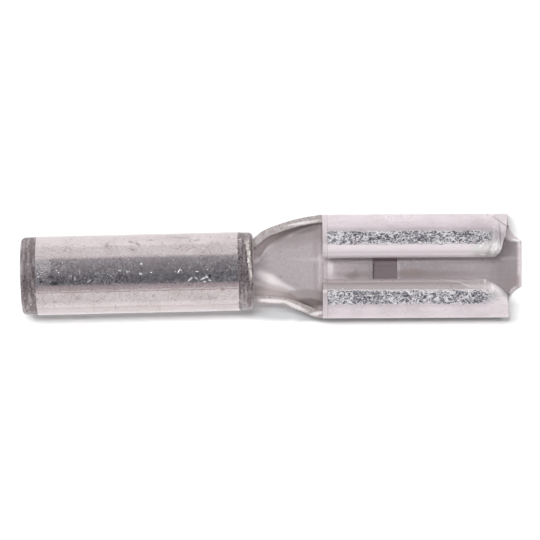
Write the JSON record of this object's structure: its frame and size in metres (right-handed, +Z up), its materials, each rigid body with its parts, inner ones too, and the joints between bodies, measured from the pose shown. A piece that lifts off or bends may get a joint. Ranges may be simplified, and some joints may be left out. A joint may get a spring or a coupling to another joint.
{
  "type": "female spade terminal",
  "caption": "Female spade terminal: sheet receptacle with curled rails for a flat tab, an open trough, and a round wire barrel inside a pressed-on sleeve.",
  "frame": {"origin": "middle of the bounding box's underside, on the surface that the terminal lies on", "axes": "+X along the receptacle, towards the end where the tab enters; +Z up, through the slot between the curled rails"},
  "size_m": [0.0184, 0.0038, 0.0029],
  "materials": {
    "tinned_sheet": "tin-plated brass sheet, bright with a fine orange-peel on the curls",
    "tinned_sleeve": "tin-plated tube, bright with fine pits and matte end bands"
  },
  "bodies": {
    "root": {"terminal": "tinned_sheet", "barrel": "tinned_sheet", "barrel_sleeve": "tinned_sleeve"}
  },
  "joints": []
}
